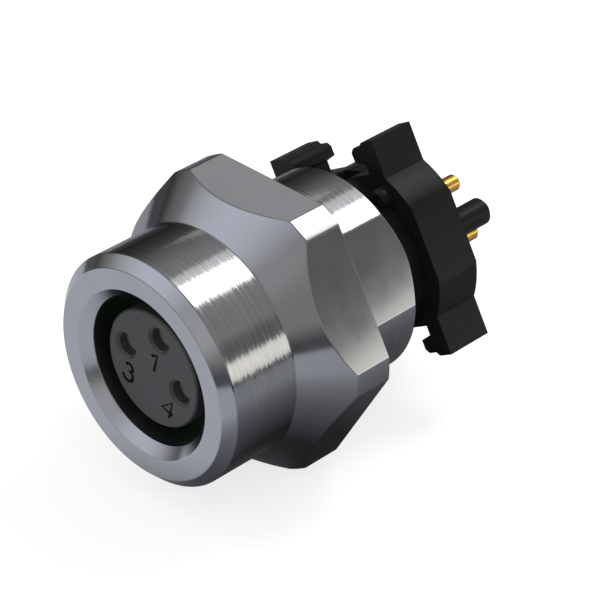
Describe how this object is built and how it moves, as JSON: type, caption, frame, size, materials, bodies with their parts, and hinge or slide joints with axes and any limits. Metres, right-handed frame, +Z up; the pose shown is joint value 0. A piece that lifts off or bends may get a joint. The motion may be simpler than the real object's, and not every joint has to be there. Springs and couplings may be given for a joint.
{
  "type": "circular sensor plug connector",
  "caption": "Round metal socket for a small sensor plug, with hexagon, flatted barrel, contact insert and a moulded rear carrier with hooked ears.",
  "frame": {"origin": "on the mating axis, at the seat behind the hexagon where the housing meets its panel", "axes": "+Y along the mating axis from the socket's front to the solder tails, +Z up with a hexagon flat on top, +X to the right seen from the front"},
  "size_m": [0.0144, 0.0196, 0.013],
  "materials": {
    "plated_brass": "nickel-plated brass, turned and brushed",
    "grey_plastic": "moulded dark grey plastic",
    "green_rubber": "moulded green rubber",
    "gold_plating": "gold plating on turned brass",
    "black_plastic": "moulded black plastic with a slight gloss"
  },
  "bodies": {
    "root": {"shell": "plated_brass", "contact_insert": "grey_plastic", "seal_ring": "green_rubber", "contact_1": "gold_plating", "contact_3": "gold_plating", "contact_4": "gold_plating", "rear_carrier": "black_plastic"}
  },
  "joints": []
}
